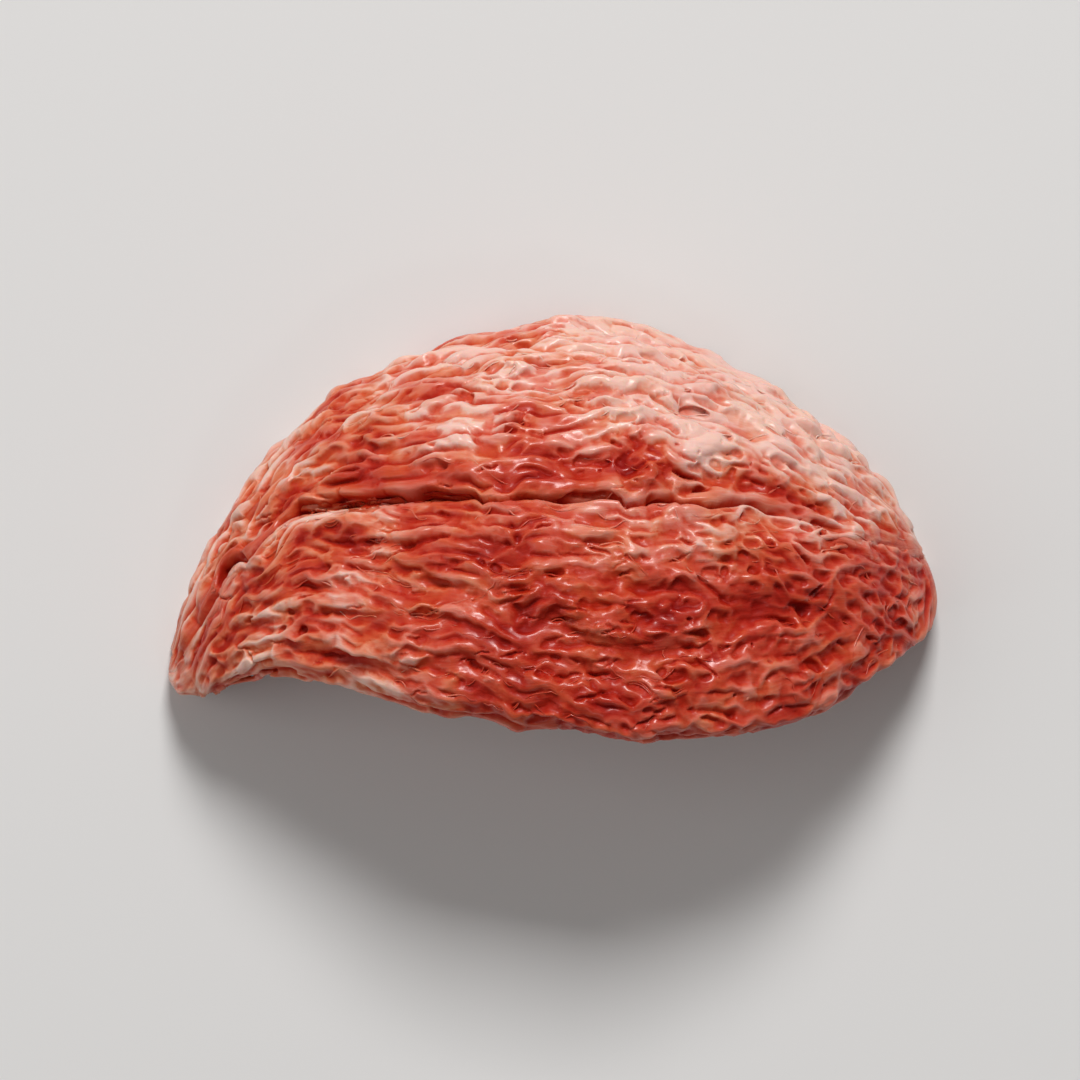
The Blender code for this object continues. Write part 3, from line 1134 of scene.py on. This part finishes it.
# %% Keep the numbers on the points
REACHES = (8, 60)
THREAD_RELIEF = 0.4


def keep(mesh, name, kind, values):
    """Stores values on a mesh's points."""
    attribute = mesh.attributes.new(name, kind, "POINT")
    field = "vector" if kind == "FLOAT_VECTOR" else "value"
    attribute.data.foreach_set(field, np.asarray(values, np.float32).ravel())


def dress(mesh, tubes, relief=1.0, dry_and_painted_light=None):
    """Gives a mesh all that its finish reads. Threads are all crest, so their relief counts for less."""
    crest, ridge = crests(mesh, REACHES)
    numbers = {
        "depth": depth_below(mesh),
        "crest": crest * relief,
        "ridge": ridge * relief,
        "tint": nearest_strand(mesh, tubes),
        "dry_and_painted_light": dryness_and_painted_light(mesh) if dry_and_painted_light is None else np.full(len(mesh.vertices), dry_and_painted_light),
    }
    for key, values in numbers.items():
        keep(mesh, key, "FLOAT", values)
        print(mesh.name, key, np.percentile(values, (2, 50, 98)).round(2))
    keep(mesh, "flow", "FLOAT_VECTOR", flow(mesh))


for name, mesh in layer_meshes.items():
    dress(mesh, [last[name]])
dress(lining_mesh, hollow_sets, dry_and_painted_light=INSIDE_DRYNESS)
dress(outer_thread_mesh, outer_threads, THREAD_RELIEF)
dress(hollow_thread_mesh, hollow_threads, THREAD_RELIEF, THREAD_DRYNESS)

# %% [markdown]
# ## The finish of dried strands
#
# Dried saliva is a little clear, so light goes in and comes out redder. Where it is still moist it is dark
# red, and as it dries it turns brick red, salmon and at last nearly cream. So one scale of colours will do:
# a group of nodes works out how pale each place is, and reads the scale there. It starts from the number on
# the points that holds dryness and painted light. Ridges and crests are made paler, partly as drier tops and
# partly as painted highlight, and gaps darker, as painted shade. Noise along the run of the strands adds
# patches and fibres. The shader stays in the material, with its fixed values on its own sockets.

# %% Node helpers
def wire(tree, node, inputs):
    """Links or sets a node's inputs, by name or number."""
    for key, value in inputs.items():
        if isinstance(value, bpy.types.NodeSocket):
            tree.links.new(value, node.inputs[key])
        else:
            node.inputs[key].default_value = value


def add(tree, kind, inputs=(), **settings):
    """A node with its settings and its inputs."""
    made = tree.nodes.new(kind)
    for key, value in settings.items():
        setattr(made, key, value)
    wire(tree, made, dict(inputs))
    return made


def reckon(tree, operation, *values, clamp=False):
    """One step of arithmetic on values."""
    inputs = dict(enumerate(values))
    return add(tree, "ShaderNodeMath", inputs, operation=operation, use_clamp=clamp).outputs[0]


def blend(tree, share, first, second, mode="MIX"):
    """A mix of two colours."""
    inputs = {0: share, 6: first, 7: second}
    return add(tree, "ShaderNodeMix", inputs, data_type="RGBA", blend_type=mode).outputs[2]


def ramp(tree, value, from_low, from_high, to_low=0.0, to_high=1.0):
    """A value carried from one range to another, smoothly and within its ends."""
    inputs = {0: value, 1: from_low, 2: from_high, 3: to_low, 4: to_high}
    return add(tree, "ShaderNodeMapRange", inputs, interpolation_type="SMOOTHSTEP").outputs[0]


def stretched(tree, vector, scale):
    """A vector with its axes scaled, which stretches what is read at it."""
    return add(tree, "ShaderNodeMapping", {"Vector": vector, "Scale": scale}).outputs[0]


def noise_at(tree, vector, scale, detail=3.0, roughness=0.55):
    """Cloudy noise, read at a vector."""
    inputs = {"Vector": vector, "Scale": scale, "Detail": detail, "Roughness": roughness}
    return add(tree, "ShaderNodeTexNoise", inputs).outputs["Fac"]


# %% The group that colours strands
# Dark red to nearly cream, the colours of strands from moist to dry. The dark end also serves as painted
# shade in hollows, pores and the crease, and the pale end as painted highlight on crests and the rim's
# shoulder.
DARK_TO_PALE = (
    (0.0, (0.25, 0.003, 0.001, 1)),
    (0.25, (0.42, 0.018, 0.006, 1)),
    (0.5, (0.56, 0.07, 0.028, 1)),
    (0.75, (0.68, 0.215, 0.135, 1)),
    (1.0, (0.79, 0.49, 0.405, 1)),
)
ORANGE = (1.0, 1.03, 0.78, 1)
MAUVE = (1.0, 0.96, 1.14, 1)
SOCKETS = (
    ("INPUT", "Float", ("Depth", "Crest", "Ridge", "Tint", "Dry_And_Painted_Light")),
    ("INPUT", "Vector", ("Flow", "Place")),
    ("OUTPUT", "Color", ("Color",)),
    ("OUTPUT", "Float", ("Roughness", "Gloss", "Height")),
)


def strand_group():
    """Colour, roughness, gloss and height of fused strands from the numbers on their points."""
    tree = bpy.data.node_groups.new("fused_strands", "ShaderNodeTree")
    for way, kind, names in SOCKETS:
        for name in names:
            tree.interface.new_socket(name, in_out=way, socket_type="NodeSocket" + kind)
    given = add(tree, "NodeGroupInput").outputs
    place, crest, dry_and_painted_light = given["Place"], given["Crest"], given["Dry_And_Painted_Light"]
    fibres = noise_at(tree, stretched(tree, given["Flow"], (0.35, 4.5, 1)), 1.0, 4.0, 0.6)
    patches = noise_at(tree, stretched(tree, given["Flow"], (0.16, 0.3, 1)), 1.0, 2.0)
    clouds = noise_at(tree, place, 110.0, 1.0)
    parts = (
        # Paler on ridges and crests, partly as drier tops and partly as painted highlight, and darker in
        # hollows, as painted shade.
        ramp(tree, given["Ridge"], -2.4, 2.4, -0.42, 0.42),
        ramp(tree, crest, -0.9, 0.9, -0.22, 0.22),
        ramp(tree, patches, 0.3, 0.7, -0.45, 0.45),
        ramp(tree, clouds, 0.35, 0.65, -0.33, 0.33),
        ramp(tree, given["Tint"], 0.0, 1.0, -0.2, 0.2),
        ramp(tree, fibres, 0.3, 0.7, -0.1, 0.1),
        # Painted shade: places deeper below the solid's surface, in pores, gaps and the crease, are made
        # darker.
        ramp(tree, given["Depth"], 0.45, 1.2, 0.0, -0.7),
    )
    change = 0.0
    for part in parts:
        change = reckon(tree, "ADD", change, part)
    spread = reckon(
        tree, "MULTIPLY", ramp(tree, dry_and_painted_light, 0.0, 0.6, 0.0, 0.38), ramp(tree, dry_and_painted_light, 0.6, 0.95, 1.0, 0.7)
    )
    pale = reckon(tree, "MULTIPLY_ADD", spread, change, dry_and_painted_light, clamp=True)
    scale = add(tree, "ShaderNodeValToRGB", {0: pale})
    for stop, (at, shade) in enumerate(DARK_TO_PALE):
        element = scale.color_ramp.elements[stop] if stop < 2 else scale.color_ramp.elements.new(at)
        element.position, element.color = at, shade
    along, *_ = add(tree, "ShaderNodeSeparateXYZ", {0: place}).outputs
    leftwards = ramp(tree, along, 25 * MM, -30 * MM, 0.3, 0.7)
    mottle = ramp(tree, noise_at(tree, place, 260.0, 2.0), 0.35, 0.65, -0.5, 0.5)
    hue = blend(tree, reckon(tree, "ADD", leftwards, mottle, clamp=True), MAUVE, ORANGE)
    colour = blend(tree, ramp(tree, pale, 0.5, 0.95, 1.0, 0.15), scale.outputs[0], hue, "MULTIPLY")
    rough = ramp(tree, fibres, 0.3, 0.7, 0.42, 0.6)
    gloss = reckon(
        tree, "MULTIPLY", ramp(tree, crest, -0.6, 0.5, 0.0, 0.8), ramp(tree, fibres, 0.35, 0.6, 0.3, 1.0)
    )
    add(tree, "NodeGroupOutput", {"Color": colour, "Roughness": rough, "Gloss": gloss, "Height": fibres})
    return tree


strands_finish = strand_group()
print("the finish has", len(strands_finish.nodes), "nodes")


# %% The material
FIBRE_HEIGHT = 0.1 * MM


def strand_material(name, bump, glow):
    """Waxy, slightly clear strands."""
    material = bpy.data.materials.new(name)
    material.use_nodes = True
    tree = material.node_tree
    given = {"Place": add(tree, "ShaderNodeTexCoord").outputs["Object"]}
    for key in ("depth", "crest", "ridge", "tint", "dry_and_painted_light", "flow"):
        outputs = add(tree, "ShaderNodeAttribute", attribute_name=key).outputs
        given[key.title()] = outputs["Vector" if key == "flow" else "Fac"]
    look = add(tree, "ShaderNodeGroup", given, node_tree=strands_finish).outputs
    fibres = {"Strength": bump, "Distance": FIBRE_HEIGHT, "Height": look["Height"]}
    raised = add(tree, "ShaderNodeBump", fibres)
    surface = {
        "Base Color": look["Color"],
        "Roughness": look["Roughness"],
        "Specular IOR Level": 0.15,
        "IOR": 1.45,
        "Subsurface Weight": glow,
        "Subsurface Radius": (1.0, 0.25, 0.12),
        "Subsurface Scale": 0.35 * MM,
        "Coat Weight": look["Gloss"],
        "Coat Roughness": 0.26,
        "Normal": raised.outputs[0],
    }
    wire(tree, tree.nodes["Principled BSDF"], surface)
    return material


# %% The five pieces of the nest
def place_piece(mesh, name, material):
    """Puts a finished mesh in the scene as a piece of the nest."""
    mesh.materials.clear()
    mesh.materials.append(material)
    mesh.shade_smooth()
    piece = bpy.data.objects.new(name, mesh)
    bpy.context.scene.collection.objects.link(piece)
    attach(piece, "root")
    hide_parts("nest")
    print(name, "has", len(mesh.polygons), "faces")


strand_finish = strand_material("strand_mass", 0.7, 0.3)
for name, mesh in layer_meshes.items():
    place_piece(mesh, name, strand_finish)
place_piece(lining_mesh, "hollow_lining", strand_finish)
place_piece(outer_thread_mesh, "outer_threads", strand_finish)
place_piece(hollow_thread_mesh, "hollow_threads", strand_finish)

# %% [markdown]
# ## Floor, light and camera
#
# The nest lies on a plain pale table under soft studio light: a broad lamp from beyond the rim and a little
# to the right, a weak one from the left, and a small one behind the back edge, for glints on waxy crests.
# The camera looks straight down and is turned a few degrees.

# %% The floor
FLOOR_SIZE = 3.0
FLOOR_PAINT = {"Base Color": (0.72, 0.71, 0.70, 1), "Roughness": 0.9, "Specular IOR Level": 0.1}
floor_shape = bmesh.new()
bmesh.ops.create_grid(floor_shape, x_segments=1, y_segments=1, size=FLOOR_SIZE / 2)
floor = bpy.data.objects.new("floor", as_mesh(floor_shape, "floor"))
bpy.context.scene.collection.objects.link(floor)
paint = bpy.data.materials.new("floor_paint")
paint.use_nodes = True
wire(paint.node_tree, paint.node_tree.nodes["Principled BSDF"], FLOOR_PAINT)
floor.data.materials.append(paint)
print("the floor is", FLOOR_SIZE, "m wide")

# %% The light
AIM = Vector((0, 0, 0.01))
ROOM_LIGHT = {"Color": (1.0, 0.98, 0.96, 1), "Strength": 0.17}
world = bpy.data.worlds.new("room")
world.use_nodes = True
wire(world.node_tree, world.node_tree.nodes["Background"], ROOM_LIGHT)
bpy.context.scene.world = world


def lamp(name, place, size, power):
    """A square soft lamp that faces the nest."""
    light = bpy.data.lights.new(name, "AREA")
    light.size = size
    light.energy = power
    holder = bpy.data.objects.new(name, light)
    holder.location = place
    holder.rotation_euler = (AIM - Vector(place)).to_track_quat("-Z", "Y").to_euler()
    bpy.context.scene.collection.objects.link(holder)
    print("the", name, "lamp has", power, "W")


lamp("key", (0.24, 1.0, 1.05), 0.45, 19.2)
lamp("fill", (-1.1, 0.0, 1.0), 1.25, 5.0)
lamp("glint", (0.3, -0.9, 1.15), 0.12, 0.55)

# %% The camera
ROLL = math.radians(7.5)
LENS = 400.0
SENSOR = 36.0
FILL = 0.72
middle = (low + high) / 2
distance = (high.x - low.x) / FILL * LENS / SENSOR
camera_data = bpy.data.cameras.new("camera")
camera_data.lens = LENS
camera_data.sensor_width = SENSOR
camera = bpy.data.objects.new("camera", camera_data)
camera.location = (middle.x, middle.y, distance)
camera.rotation_euler = (0, 0, -ROLL)
bpy.context.scene.collection.objects.link(camera)
bpy.context.scene.camera = camera
bpy.context.scene.view_settings.view_transform = "Standard"
print("the camera is", round(distance, 2), "m up")
